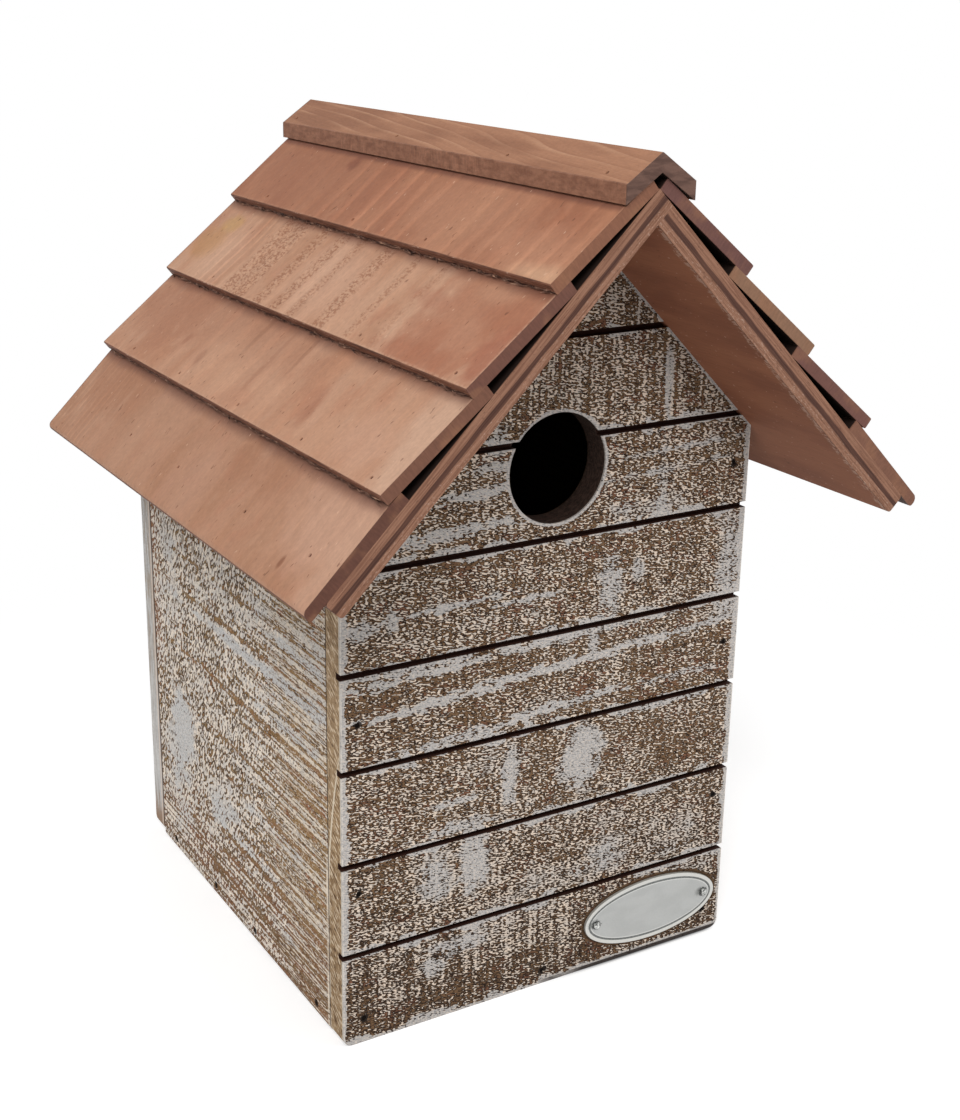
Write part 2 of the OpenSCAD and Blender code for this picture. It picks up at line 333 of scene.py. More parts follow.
# Long ragged bands of paint, on the front along lines that rise a little to the right.
RISE = 0.045
FRONT_BANDS = (
    (-50, 114, 17, 1.3, 1.8), (12, 113.6, 62, 1, 1.5), (-40, 104, 26, 1.1, 2.2),
    (0, 105.4, 32, 1.1, 2.2), (44, 106, 26, 1.2, 1.1), (-26, 91.6, 18, 1.1, 2), (4, 92.5, 18, 1.5, 1.7),
    (48, 91.5, 20, 1.2, 1.1), (-26, 162.4, 12, 1.3, 2.2), (-34, 153, 18, 1.7, 2.1),
    (-22, 169, 9, 1.1, 1.4), (40, 163.6, 24, 0.9, 1.3), (42, 158, 22, 0.8, 1),
    (-32, 131.6, 16, 0.9, 1.8), (-8, 128.4, 13, 0.9, 1.4), (-28, 63.4, 13, 1.4, 1.1),
    (-28, 71.7, 10, 1.1, 1.4),
)
SIDE_PATCHES = (
    (120, 57, 9, 8, 1.5), (117, 47, 8, 6.5, 1.2), (127, 42, 8, 13, 0.8), (122, 26, 11, 11, 0.7),
    (86, 39, 12, 8, 0.8), (14, 24, 12, 30, -0.55), (127, 100, 9, 20, 0.4), (72, 60, 12, 4, 0.4),
    (40, 16, 12, 2, 0.9), (28, 99.5, 22, 2.1, 1.7), (82, 99, 30, 1.8, 1.2), (28, 112, 20, 1.3, 0.8),
    (40, 86, 24, 1.3, 0.7), (70, 31.7, 26, 1.3, 0.9), (36, 47.5, 30, 1.8, 0.7), (50, 8, 50, 9, -0.35),
    (70, 112, 34, 9, 0.35), (22, 102, 22, 22, 0.45), (17, 66, 11, 14, -0.5),
)
# Long lines of bare wood on the sides.
SIDE_LINES = (
    (66, 103, 56, 0.7, 1.7), (48, 81.5, 56, 0.8, 1.9), (34, 75, 36, 0.6, 1.4), (52, 63.2, 56, 0.6, 1.4),
    (34, 50.6, 36, 0.9, 1.7), (40, 29, 44, 1, 2), (26, 34.6, 28, 0.7, 1.6), (46, 22, 52, 0.7, 1.5),
    (32, 107, 34, 0.6, 1.3), (72, 115.6, 46, 0.7, 1.2), (50, 13, 60, 0.7, 1.1),
    (26, 69.6, 22, 0.6, 1.4),
)


def nail_holes(g, u, v, node, axis, ragged):
    """Dark ragged spots round a board's sunk nails, on the axes u (x or y) and v (z)."""
    rows = [(nail[axis], nail.z, NAIL_HOLE_R, NAIL_HOLE_R, 1) for nail in nail_middles(node)]
    return g.low(g.spots(0, u, v, rows, ragged, 0.35), 0.93)


def groove_distance(g):
    """Distance from the middle of the nearest groove."""
    turns = g.math("FRACT", g.add(g.div(g.sub(g.z, GROOVE_Z), GROOVE_PITCH), 4.5))
    return g.mul(g.absolute(g.sub(turns, 0.5)), GROOVE_PITCH)


def plate_ring(g):
    """About the distance outside the name plate's rim."""
    a, b = (PLATE_HI[0] - PLATE_LO[0]) / 2, (PLATE_HI[2] - PLATE_LO[2]) / 2
    u = g.div(g.sub(g.x, (PLATE_HI[0] + PLATE_LO[0]) / 2), a)
    v = g.div(g.sub(g.z, (PLATE_HI[2] + PLATE_LO[2]) / 2), b)
    far = g.hypot(u, v)
    steep = g.math("SQRT", g.add(g.math("POWER", g.div(u, a), 2),
                                 g.math("POWER", g.div(v, b), 2)))
    return g.div(g.mul(far, g.sub(far, 1)), g.top(steep, 1e-4))


def bare_wood(g, place, pair, seed):
    grain = g.noise(place, (40, 1.5, 1.5), seed, 3, 0.6, 0.2)
    return g.mix(g.smooth(grain, 0.35, 0.65), pair[0], pair[1])


def front_paint(g):
    """How much paint covers the front, and where it is thick."""
    x, y, z = g.x, g.y, g.z
    face = (x, z, y)
    climb = g.scaled(x, -RISE, z)
    lack = g.mul(strips(g, (x, climb, y), (26, 3, 9), 4.9, 0.58, 0.70), -0.7)
    streaky = g.span(z, GROOVE_Z, GROOVE_Z + 5, 1, 0.45)
    streaky = g.top(streaky, g.span(z, GABLE_Z - 65, GABLE_Z - 55, 0.45, 1))
    column = g.noise(face, (1.1, 40, 9), 5.1, 1, 0.4, 0.1)
    column = g.swing(column, streaky, 4)
    cloud = g.swing(g.noise(face, (12, 7, 9), 8.8, 2, 0.5), 2)
    ragged = g.swing(g.noise(face, (5, 4, 5), 2.2, 3, 0.65), 2)
    torn = g.swing(g.noise((x, climb, y), (4, 1.6, 5), 6.2, 2, 0.6), 4.5)
    thick = g.spots(cloud, x, z, FRONT_PATCHES, ragged)
    thick = g.spots(thick, x, climb, FRONT_BANDS, torn)
    cover = g.add(lack, column, thick, g.span(z, 40, 80, -0.48, -0.57),
                  g.mul(g.band(z, 103, 13, 4), -0.08))
    return cover, thick


def front_cut_ends(g, deep, wobble):
    """Paler wood with fine specks, and a bowed cream line of paint towards the rear."""
    x, y, z = g.x, g.y, g.z
    slanted = g.scaled(y, -0.7, z)
    specks = g.noise((x, slanted, y), (1, 0.8, 2), 21, 1, 0.5)
    streaks = g.noise((x, z, y), (1, 9, 1.6), 22, 2, 0.6)
    cut = g.mix(g.smooth(streaks, 0.4, 0.6), (142, 115, 84), (164, 137, 104))
    cut = g.mix(g.smooth(specks, 0.55, 0.65), cut, (214, 194, 168))
    cut = g.mix(g.smooth(specks, 0.42, 0.32), cut, (96, 72, 50))
    cut = g.mix(g.smooth(deep, 1.1, 0.7), cut, (208, 200, 186))
    rear = g.mul(g.smooth(deep, BOARD_T - 1.1, BOARD_T - 0.7), g.smooth(wobble, 0.40, 0.5),
                 g.smooth(z, 64, 56))
    cut = g.dim(cut, g.span(z, 8, 110, 0.93, 1.06))
    bow = g.mul(g.math("POWER", g.div(g.top(g.sub(z, 50), 0), 48), 1.6), BOARD_T)
    arc = g.sub(g.add(deep, bow), BOARD_T - 0.5)
    cut = g.mix(g.mul(g.smooth(arc, 0.3, 0.8), g.smooth(z, 52, 60), 0.2), cut, (180, 156, 126))
    drawn = g.mul(g.band(arc, 0, 0.25, 0.3), g.smooth(z, 50, 56), g.smooth(z, 100, 80))
    cut = g.mix(g.mul(drawn, 0.85), cut, (226, 212, 190))
    return g.mix(rear, cut, (214, 200, 180))


def front_material():
    g = Paint("whitewashed_front")
    x, y, z = g.x, g.y, g.z
    face = (x, z, y)
    deep = g.sub(y, FRONT_Y)
    cover, thick = front_paint(g)
    wobble = g.noise(face, (11, 7, 9), 12, 2, 0.6)
    nibble = g.noise(face, (1.5, 1.5, 2), 13, 1, 0.5)
    # thick paint on the arrises beside grooves, at the ends, slopes, foot and hole
    from_groove = groove_distance(g)
    reach = g.span(wobble, 0.46, 0.62, 0, 2.6)
    edge = g.smooth(g.sub(from_groove, GROOVE_HALF), reach, g.mul(reach, 0.4))
    ends = g.sub(WALL_X, g.absolute(x))
    end_reach = g.add(g.span(wobble, 0.35, 0.65, 1.5, 3.2), g.swing(nibble, 2.4))
    end_reach = g.mul(end_reach, g.span(z, 4, GROOVE_Z + GROOVE_PITCH, 0.36, 1))
    end = g.smooth(ends, end_reach, g.mul(end_reach, 0.6))
    # rises towards the right, where the painted shadow under the foot lies
    darkened = g.smooth(g.scaled(wobble, 60, x), 24, 48)
    foot = g.smooth(g.sub(z, darkened), g.span(nibble, 0.3, 0.7, 0.8, 1.7), 0.6)
    slope = g.sub(g.sub(GABLE_Z, z), g.absolute(x))
    slope = g.mul(slope, math.cos(math.radians(ROOF_PITCH)))
    rake = g.smooth(slope, 1, 0.4)
    ring = g.sub(g.hypot(x, g.sub(z, HOLE_Z)), HOLE_R)
    rim = g.smooth(ring, g.span(wobble, 0.4, 0.65, 0.8, 1.6), 0.5)
    worn = g.add(g.mul(edge, 1.8), g.mul(end, 3), g.mul(foot, 2.2), g.mul(rake, 2),
                 g.mul(rim, 3))
    by_plate = plate_ring(g)
    cover = g.add(g.add(cover, worn), g.mul(g.smooth(by_plate, 1.3, 0.4), -3.5))
    # how far the painted shade beside the strokes reaches, changing with height
    shade_from_level = g.span(z, 12, 70, -3.2, -1.8)
    tilted = g.scaled(x, 0.18, z)
    colour, height, left = wash(g, (x, tilted, y), cover, g.add(thick, worn), (1.12, 0.48), 0.7,
                                FRONT_TONES, shade_from_level)
    # darker round the plate: dark stain, and painted shade of the plate's edge
    colour = g.dim(colour, g.smooth(by_plate, 0.2, 1.4, 0.42, 1))
    # painted shade under the roof: darker towards the gable slopes
    colour = g.dim(colour, g.smooth(slope, 0, 16, 0.80, 1))
    # a painted highlight along the arrises at the ends
    arris_highlight = g.mul(g.smooth(ends, 0.42, 0.25), g.smooth(nibble, 0.36, 0.5))
    colour = g.mix(g.mul(arris_highlight, 0.6), colour, (216, 208, 198))
    holes = nail_holes(g, x, z, "front_panel_nails", 0, g.swing(nibble, 3))
    colour = g.mix(holes, colour, NAIL_DARK)
    # painted shadow under the foot, towards the right
    colour = g.mix(g.mul(darkened, g.smooth(z, 1.5, 1.1), 0.95), colour, (38, 29, 26))
    colour = g.mix(g.smooth(deep, 0.35, 0.75), colour, front_cut_ends(g, deep, wobble))
    # dark inside the grooves; the hole's bore and the inside of the box are dark bare wood, darkened as
    # painted shade
    in_groove = g.mul(g.smooth(from_groove, GROOVE_HALF + 0.16, GROOVE_HALF + 0.02),
                      g.smooth(deep, 0.1, 0.4), g.smooth(deep, GROOVE_DEPTH + 0.3, GROOVE_DEPTH + 0.1))
    colour = g.mix(in_groove, colour, (46, 24, 17))
    # the bore: dark wood with painted shade
    bore = g.mul(g.smooth(ring, 0.4, 0.1), g.smooth(deep, 0.3, 0.8))
    bore_grain = g.noise(face, (1.6, 1.2, 0.5), 25, 2, 0.6)
    colour = g.mix(bore, colour, g.mix(g.smooth(bore_grain, 0.35, 0.65), (44, 33, 28), (68, 53, 46)))
    # the inner face: dark bare wood, darkened as painted shade
    inner = g.smooth(deep, BOARD_T - 0.7, BOARD_T - 0.3)
    colour = g.mix(inner, colour, bare_wood(g, face, SHADED_INNER_WOOD, 27))
    return g.finish(colour, g.span(left, 0, 1, 0.88, 0.74), height, 0.25, 0.8, specular=0.14)


def side_material():
    g = Paint("whitewashed_side")
    x, y, z = g.x, g.y, g.z
    face = (y, z, x)
    from_front = g.sub(y, FRONT_Y)
    torn = g.swing(g.noise(face, (6, 1.4, 30), 5.2, 2, 0.6), 5)
    fine_line = g.noise(face, (60, 0.85, 30), 3.3, 1, 0.4, 0.1)
    fades = g.span(g.noise(face, (30, 7, 30), 3.9, 1, 0.5), 0.40, 0.60, 0, 1)
    near = g.top(g.smooth(from_front, 84, 20), g.mul(g.smooth(z, 32, 12), 0.6))
    cloud = g.swing(g.noise(face, (16, 9, 30), 6.1, 2, 0.5), 2.2)
    ragged = g.swing(g.noise(face, (7, 6, 5), 2.9, 3, 0.65), 2)
    grained = g.swing(fine_line, g.add(2, g.mul(near, 12)))
    thick = g.spots(cloud, from_front, z, SIDE_PATCHES, ragged)
    line = g.spots(0, from_front, z, SIDE_LINES, torn)
    cover = g.sub(g.add(thick, grained, g.span(z, 8, 60, -0.16, 0.08)), line)
    # short strokes that lean forward at the rear, and grain lines towards the front
    along = g.sub(g.mul(z, 0.85), g.mul(y, 0.53))
    across = g.add(g.mul(y, 0.85), g.mul(z, 0.53))
    far, far_height, far_left = wash(g, (along, across, x), cover, thick, (2, 0.95), 4.1,
                                     SIDE_TONES)
    cover = g.sub(cover, 0.22)
    grain, grain_height, grain_left = wash(g, face, cover, thick, (2.6, 0.55), 9.4, GRAIN_TONES)
    turnover = g.noise(face, (14, 3, 30), 10.9, 2, 0.5)
    mask = g.smooth(g.scaled(turnover, 110, from_front), 102, 92)
    colour = g.mix(mask, far, grain)
    rest = g.inv(mask)
    left = g.add(g.mul(rest, far_left), g.mul(mask, grain_left))
    height = g.add(g.mul(rest, far_height), g.mul(mask, grain_height))
    wood_line = g.mix(fades, (142, 112, 74), (138, 98, 68))
    wood_line = g.dim(wood_line, g.span(fine_line, 0.35, 0.65, 0.8, 1.15))
    colour = g.mix(g.mul(g.smooth(line, 0.6, 1.5), 0.45), colour, wood_line)
    # specks of paint on the wood and of wood in the paint
    stipple = g.noise(face, (0.75, 0.55, 0.7), 8.2, 1, 0.5)
    speckled = g.add(0.3, g.mul(mask, 0.4))
    colour = g.mix(g.mul(g.smooth(stipple, 0.57, 0.64), g.inv(left), speckled), colour, (212, 198, 180))
    colour = g.mix(g.mul(g.smooth(stipple, 0.43, 0.36), left, speckled), colour, (128, 104, 80))
    # the wood is darker and redder towards the foot, and reddish beside the back board
    low = g.mul(g.smooth(z, 46, 8), g.inv(left))
    foot_wood = g.mix(g.smooth(turnover, 0.45, 0.6), (100, 74, 54), (122, 76, 56))
    colour = g.mix(g.mul(low, 0.5), colour, foot_wood)
    rear = g.mul(g.smooth(from_front, 132, 142), g.smooth(z, 58, 80), g.inv(left))
    colour = g.mix(g.mul(rear, 0.5), colour, (150, 104, 82))
    # a broken cream line of paint in the joint with the front board
    joint = g.mul(g.smooth(from_front, BOARD_T + 1.4, BOARD_T + 1), g.smooth(torn, -1, -0.4),
                  g.smooth(z, 61, 50))
    joint = g.mul(joint, g.sub(1, g.mul(g.band(z, 30, 9, 3), 0.45)))
    colour = g.mix(g.mul(joint, 0.8), colour, (226, 212, 194))
    holes = nail_holes(g, y, z, "left_side_nails", 1, g.mul(torn, 0.2))
    colour = g.mix(holes, colour, NAIL_DARK)
    # the inner face: dark bare wood, darkened as painted shade
    inner = g.smooth(g.sub(WALL_X, g.absolute(x)), BOARD_T - 0.7, BOARD_T - 0.3)
    colour = g.mix(inner, colour, bare_wood(g, face, SHADED_INNER_WOOD, 28))
    return g.finish(colour, g.span(left, 0, 1, 0.86, 0.74), height, 0.22, 0.7, specular=0.14)


def back_material():
    g = Paint("whitewashed_back")
    x, y, z = g.x, g.y, g.z
    face = (x, z, y)
    ends = g.sub(WALL_X, g.absolute(x))
    at_end = g.smooth(ends, 0.8, 0.3)
    from_side = g.sub(y, BACK_LO[1])
    line = g.mul(strips(g, face, (80, 2, 9), 31.3, 0.57, 0.68), -2.6)
    cloud = g.swing(g.noise(face, (20, 12, 9), 38.8, 2, 0.5), 4)
    cover = g.add(line, cloud, 0.3, g.mul(g.smooth(ends, 2.2, 1.2), 2.5))
    colour, height, _ = wash(g, face, cover, cloud, (1.6, 0.8), 30.7, SIDE_TONES)
    # painted cut ends, with a dark line where they meet the side boards
    streaks = g.noise(face, (2, 12, 0.9), 41, 2, 0.6)
    painted = g.mix(g.smooth(streaks, 0.35, 0.65), (184, 180, 177), (208, 206, 203))
    darkened = g.smooth(g.scaled(streaks, 24, z), 26, 18)
    painted = g.mix(darkened, painted, (152, 126, 106))
    painted = g.dim(painted, g.span(z, 52, 72, 1, 0.93))
    rubbed = g.noise((z, y, x), (9, 1.2, 2), 46, 2, 0.6, 0.3)
    beside = g.mul(g.smooth(from_side, 5.5, 3), g.span(z, 50, 70, 0, 0.1))
    rubbed = g.mul(g.smooth(g.add(rubbed, beside), 0.50, 0.58), g.span(z, 40, 76, 0.15, 0.6))
    painted = g.mix(rubbed, painted, (156, 136, 114))
    stipple = g.noise((y, z, x), (0.8, 0.8, 0.8), 47, 1, 0.5)
    painted = g.vary(painted, stipple, 0.93, 1.05)
    colour = g.mix(at_end, colour, painted)
    cream_line = g.mul(g.band(from_side, 2.1, 0.3, 0.4), at_end, 0.8)
    colour = g.mix(cream_line, colour, (222, 204, 190))
    colour = g.mix(g.mul(g.smooth(from_side, 1.2, 0.8), at_end), colour, (84, 64, 50))
    # the inner face: dark bare wood, darkened as painted shade
    inner = g.mul(g.smooth(from_side, 0.7, 0.3), g.smooth(ends, BOARD_T - 1, BOARD_T))
    colour = g.mix(inner, colour, bare_wood(g, face, SHADED_INNER_WOOD, 43))
    return g.finish(colour, 0.8, height, 0.22, 0.7, specular=0.14)


def floor_board_material():
    g = Paint("bare_floor_board")
    grain_way = (g.y, g.x, g.z)
    top_z = box_mm("floor_panel")[1][2]
    outside = bare_wood(g, grain_way, ((178, 150, 112), (205, 180, 142)), 51)
    # the top face inside the box: dark bare wood, darkened as painted shade
    top = g.smooth(g.z, top_z - 0.7, top_z - 0.3)
    colour = g.mix(top, outside, bare_wood(g, grain_way, SHADED_INNER_WOOD, 53))
    grain = g.noise(grain_way, (60, 1.8, 2), 51, 4, 0.6, 0.2)
    return g.finish(colour, 0.8, grain, 0.15, 0.6, specular=0.25)


# ---- stained roof wood

# undersides and covered faces, near black as painted shade
HIDDEN_WOOD_SHADE = (34, 23, 19)


def slope_axes(side, tilt_deg):
    """Down-slope and outward unit vectors of a board that is tilted against the slope."""
    a = math.radians(ROOF_PITCH - tilt_deg)
    return (Vector((side * math.cos(a), 0, -math.sin(a))),
            Vector((side * math.sin(a), 0, math.cos(a))))


def extent(node, axis):
    d = [v.co.dot(axis) * MM for v in NODES[node].data.vertices]
    return min(d), max(d)


def board_axes(g, node, side, tilt):
    """Across (from the front end), along (down from the upper end) and depth (from the
    outer face) on a roof board, and the board's size in those directions."""
    down, out = slope_axes(side, tilt)
    s_lo, s_hi = extent(node, down)
    n_lo, n_hi = extent(node, out)
    y_lo, y_hi = extent(node, Vector((0, 1, 0)))
    along = g.sub(g.vmath("DOT_PRODUCT", g.pos, tuple(down)), s_lo)
    depth = g.sub(n_hi, g.vmath("DOT_PRODUCT", g.pos, tuple(out)))
    return (g.sub(g.y, y_lo), along, depth), (y_hi - y_lo, s_hi - s_lo, n_hi - n_lo)


def between(g, value, lo, hi, soft):
    return g.mul(g.smooth(value, lo - soft, lo + soft), g.smooth(value, hi + soft, hi - soft))


# Each course's tilt against the slope in degrees, and its lap under the course above.
TILT = {1: 0, 2: 5.82, 3: 5.75, 4: 5.75}
LAP = 4.6
# Blots lie at (share across from the front end, share down from the upper edge).
LOOKS = {
    1: dict(base=(174, 130, 104), dark=(164, 119, 92), red=(170, 118, 92),
            pale=(184, 144, 118), ends=((88, 56, 45), (112, 76, 60)), lapped=True,
            rings=((0.03, 0.30, 5.5, 0.25), (0.84, 0.99, 3.4, 0.6)),
            blots=((0.05, 0.40, 22, 12, (192, 152, 129), 0.65),
                   (0.31, 0.33, 15, 6, (158, 110, 83), 0.5),
                   (0.015, 0.6, 4, 26, (190, 150, 126), 0.6),
                   (0.45, 0.75, 10, 12, (178, 136, 112), 0.5),
                   (0.68, 0.6, 16, 14, (176, 134, 108), 0.5),
                   (0.88, 0.3, 22, 16, (160, 112, 84), 0.6),
                   (0.117, 0.80, 0.8, 1.6, (120, 72, 50), 0.7))),
    2: dict(base=(184, 140, 113), dark=(174, 126, 98), red=(174, 122, 95),
            pale=(190, 150, 126), ends=((106, 71, 56), (100, 66, 58)), lapped=True,
            rings=((0.30, 0.75, 14, 0.4),),
            blots=((0.66, 0.30, 55, 13, (164, 116, 90), 0.6),
                   (0.02, 0.5, 8, 26, (198, 162, 138), 0.75),
                   (0.12, 0.75, 11, 8, (192, 150, 126), 0.5),
                   (0.285, 0.70, 2.4, 5.5, (150, 100, 76), 0.55),
                   (0.30, 0.62, 4.5, 7, (160, 105, 80), 0.4),
                   (0.415, 0.30, 1, 7, (132, 88, 66), 0.4),
                   (0.485, 0.40, 1.2, 12, (152, 106, 82), 0.4),
                   (0.57, 0.34, 1.3, 9, (136, 92, 68), 0.42),
                   (0.67, 0.71, 1.6, 2.4, (140, 92, 70), 0.6),
                   (0.755, 0.62, 1.2, 2, (140, 92, 70), 0.5),
                   (0.60, 0.62, 14, 9, (192, 148, 120), 0.4),
                   (0.88, 0.45, 22, 16, (162, 112, 86), 0.6))),
    3: dict(base=(188, 145, 118), dark=(176, 130, 102), red=(172, 119, 92),
            pale=(200, 160, 134), ends=((98, 64, 53), (124, 92, 72)), lapped=True,
            rings=((0.79, 0.89, 4.6, 1), (0.28, 0.80, 14, 0.3)),
            torn=((148, 3.4, 0.85), (139.5, 2.6, 0.9), (126, 1.8, 0.85), (114, 2, 0.85),
                  (102.5, 1.2, 0.7), (85.5, 2, 0.85), (69, 0.8, 0.7), (53.5, 0.5, 0.4)),
            blots=((0.94, 0.62, 8, 6, (176, 128, 78), 0.55),
                   (0.925, 0.36, 5, 3, (186, 146, 92), 0.6),
                   (0.86, 0.75, 10, 10, (203, 163, 138), 0.35),
                   (0.50, 0.6, 20, 14, (202, 162, 137), 0.5),
                   (0.10, 0.5, 24, 26, (164, 110, 84), 0.65),
                   (0.05, 0.34, 11, 7, (154, 96, 70), 0.6),
                   (0.16, 0.90, 20, 5, (156, 98, 72), 0.6),
                   (0.17, 0.75, 14, 7, (160, 104, 78), 0.5),
                   (0.02, 0.78, 4.5, 9, (150, 88, 66), 0.6),
                   (0.22, 0.45, 11, 3, (160, 106, 82), 0.4),
                   (0.10, 0.22, 9, 4, (184, 138, 110), 0.5))),
    4: dict(base=(166, 114, 86), dark=(154, 101, 75), red=(156, 98, 73),
            pale=(176, 128, 100), ends=((120, 80, 61), (96, 64, 58)), lapped=False,
            rings=((0.38, 0.70, 10.4, 1), (0, 0.34, 8.4, 0.7), (0.74, 0.84, 9, 0.5)),
            blots=((0.80, 0.5, 36, 30, (150, 100, 75), 0.55),
                   (0.711, 0.38, 3, 2.5, (118, 68, 52), 0.6),
                   (0.30, 0.6, 26, 16, (178, 130, 102), 0.5),
                   (0.04, 0.95, 13, 4, (204, 164, 132), 0.65),
                   (0.09, 0.8, 16, 8, (184, 134, 106), 0.45))),
}


def growth_rings(g, rings, across, width, grain, seed, colour, relief):
    """Each ring is a bright line, then a slow fall to the next."""
    uneven = g.noise(grain, (14, 90, 9), seed + 6, 1, 0.5)
    for lo, hi, pitch, strength in rings:
        uneven_at = g.scaled(uneven, 0.9 * pitch, grain[0])
        turn = g.math("FRACT", g.div(uneven_at, pitch))
        line = g.mul(g.smooth(turn, 0.44, 0.18), g.smooth(turn, 0, 0.12))
        wave = g.add(line, g.scaled(turn, -0.7, 0.25))
        here = between(g, across, lo * width, hi * width, 8)
        here = g.mul(here, g.span(uneven, 0.3, 0.7, 0.5, 1.2))
        colour = g.dim(colour, g.add(g.mul(wave, here, 0.15 * strength), 1))
        relief = g.add(relief, g.mul(wave, here, 0.5 * strength))
    return colour, relief


def torn_rows(g, rows, board, bent, seed, colour, relief):
    """Rows of short torn fibres, down the slope."""
    row = 0
    for at, half, strength in rows:
        row = g.add(row, g.mul(g.band(bent, at, half, 2.2), strength))
    dash = g.noise(board, (1.2, 0.75, 3), seed + 7, 1, 0.5, 0.4)
    low = g.mul(g.smooth(dash, 0.51, 0.60), row)
    high = g.mul(g.smooth(dash, 0.45, 0.36), row)
    colour = g.mix(g.mul(row, 0.28), colour, (168, 120, 90))
    colour = g.mix(g.mul(low, 0.74), colour, (140, 92, 66))
    colour = g.mix(g.mul(high, 0.35), colour, (210, 171, 143))
    return colour, g.add(relief, g.mul(low, -0.7), g.mul(high, 0.7))


def torn_lower_edge(g, board, thick, seed):
    """The rough lower edge, torn and darker towards the underside, where the dark is also painted
    shade, and its relief.
    """
    across, along, depth = board
    edge = (across, depth, along)
    strand = g.noise(edge, (9, 0.42, 0.8), seed + 9, 2, 0.6, 0.3)
    chip = g.noise(edge, (2.2, 0.8, 1), seed + 10, 2, 0.6)
    colour = g.mix(g.smooth(strand, 0.34, 0.60), (84, 53, 41), (124, 82, 63))
    # darker towards the underside: torn wood and painted shade
    torn_and_shaded_from = g.span(chip, 0.3, 0.7, 0.40 * thick, 0.90 * thick)
    torn = g.mix(g.smooth(strand, 0.42, 0.62), (54, 31, 26), (88, 56, 46))
    colour = g.mix(g.smooth(depth, torn_and_shaded_from, g.add(torn_and_shaded_from, 0.35)), colour, torn)
    splinter = g.mul(g.smooth(strand, 0.60, 0.68), g.smooth(chip, 0.5, 0.62))
    return g.mix(splinter, colour, (176, 148, 130)), g.add(strand, chip)


def sawn_end(g, board, tone, seed):
    across, along, depth = board
    sawn = (depth, along, across)
    hatch = g.noise(sawn, (2.6, 0.55, 1.4), seed + 11, 2, 0.6)
    patch = g.smooth(g.noise(sawn, (6, 9, 3), seed + 12, 2, 0.5), 0.5, 0.68)
    return g.vary(g.mix(g.mul(patch, 0.45), tone, (132, 92, 68)), hatch, 0.88, 1.12)


